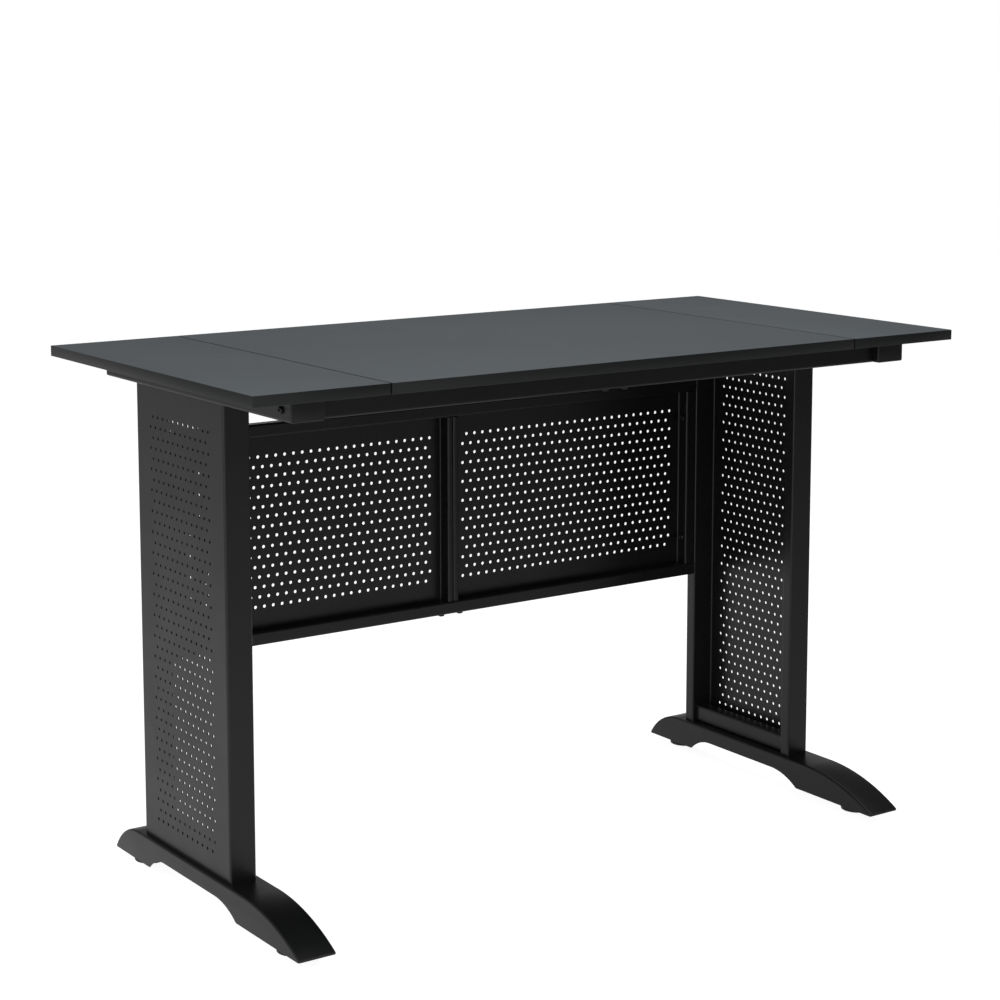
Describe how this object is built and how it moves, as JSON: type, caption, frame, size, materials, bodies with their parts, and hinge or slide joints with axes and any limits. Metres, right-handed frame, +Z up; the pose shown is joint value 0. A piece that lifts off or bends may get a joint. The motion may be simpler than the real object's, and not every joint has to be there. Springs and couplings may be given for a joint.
{
  "type": "computer desk",
  "caption": "Computer desk with a boarded laminate top on perforated steel panel legs, arched feet with levelling glides and a perforated modesty panel between the legs.",
  "frame": {"origin": "on the floor, under the middle of the top", "axes": "+X to the right of a person sitting at the desk, +Y from that person towards the modesty panel, +Z up"},
  "size_m": [1.2, 0.6, 0.756],
  "materials": {
    "laminate_top": "matt charcoal laminate on board",
    "powder_coat": "fine satin black powder coat on steel",
    "black_bolt": "black oxide steel",
    "black_plastic": "moulded black plastic"
  },
  "bodies": {
    "desk": {"top_left_board": "laminate_top", "top_centre_board": "laminate_top", "top_right_board": "laminate_top", "left_side_bar": "powder_coat", "right_side_bar": "powder_coat", "left_front_bar_plug": "black_plastic", "left_rear_bar_plug": "black_plastic", "right_front_bar_plug": "black_plastic", "right_rear_bar_plug": "black_plastic", "left_front_rail_bolt": "black_bolt", "left_rear_rail_bolt": "black_bolt", "right_front_rail_bolt": "black_bolt", "right_rear_rail_bolt": "black_bolt", "front_rail_left": "powder_coat", "front_rail_right": "powder_coat", "front_rail_joiner": "powder_coat", "front_rail_joiner_bolt_left": "black_bolt", "front_rail_joiner_bolt_right": "black_bolt", "rear_rail_left": "powder_coat", "rear_rail_right": "powder_coat", "rear_rail_joiner": "powder_coat", "rear_rail_joiner_bolt_left": "black_bolt", "rear_rail_joiner_bolt_right": "black_bolt", "left_front_post": "powder_coat", "left_rear_post": "powder_coat", "left_leg_top_tube": "powder_coat", "left_leg_bottom_tube": "powder_coat", "left_leg_panel": "powder_coat", "right_front_post": "powder_coat", "right_rear_post": "powder_coat", "right_leg_top_tube": "powder_coat", "right_leg_bottom_tube": "powder_coat", "right_leg_panel": "powder_coat", "left_foot": "powder_coat", "right_foot": "powder_coat", "left_front_foot_bolt": "black_bolt", "left_rear_foot_bolt": "black_bolt", "right_front_foot_bolt": "black_bolt", "right_rear_foot_bolt": "black_bolt", "modesty_left_top_rail": "powder_coat", "modesty_left_bottom_rail": "powder_coat", "modesty_left_end_stile": "powder_coat", "modesty_left_centre_stile": "powder_coat", "modesty_left_panel": "powder_coat", "modesty_left_upper_bolt": "black_bolt", "modesty_left_lower_bolt": "black_bolt", "modesty_right_top_rail": "powder_coat", "modesty_right_bottom_rail": "powder_coat", "modesty_right_end_stile": "powder_coat", "modesty_right_centre_stile": "powder_coat", "modesty_right_panel": "powder_coat", "modesty_right_upper_bolt": "black_bolt", "modesty_right_lower_bolt": "black_bolt", "modesty_joiner": "powder_coat", "modesty_joiner_bolt_left": "black_bolt", "modesty_joiner_bolt_right": "black_bolt"},
    "left_front_glide": {"left_front_glide": "black_plastic"},
    "left_rear_glide": {"left_rear_glide": "black_plastic"},
    "right_front_glide": {"right_front_glide": "black_plastic"},
    "right_rear_glide": {"right_rear_glide": "black_plastic"}
  },
  "joints": [
    {"name": "left_front_levelling", "type": "slide", "parent": "desk", "child": "left_front_glide", "axis": [0, 0, -1], "range_m": [0, 0.012]},
    {"name": "left_rear_levelling", "type": "slide", "parent": "desk", "child": "left_rear_glide", "axis": [0, 0, -1], "range_m": [0, 0.012]},
    {"name": "right_front_levelling", "type": "slide", "parent": "desk", "child": "right_front_glide", "axis": [0, 0, -1], "range_m": [0, 0.012]},
    {"name": "right_rear_levelling", "type": "slide", "parent": "desk", "child": "right_rear_glide", "axis": [0, 0, -1], "range_m": [0, 0.012]}
  ]
}
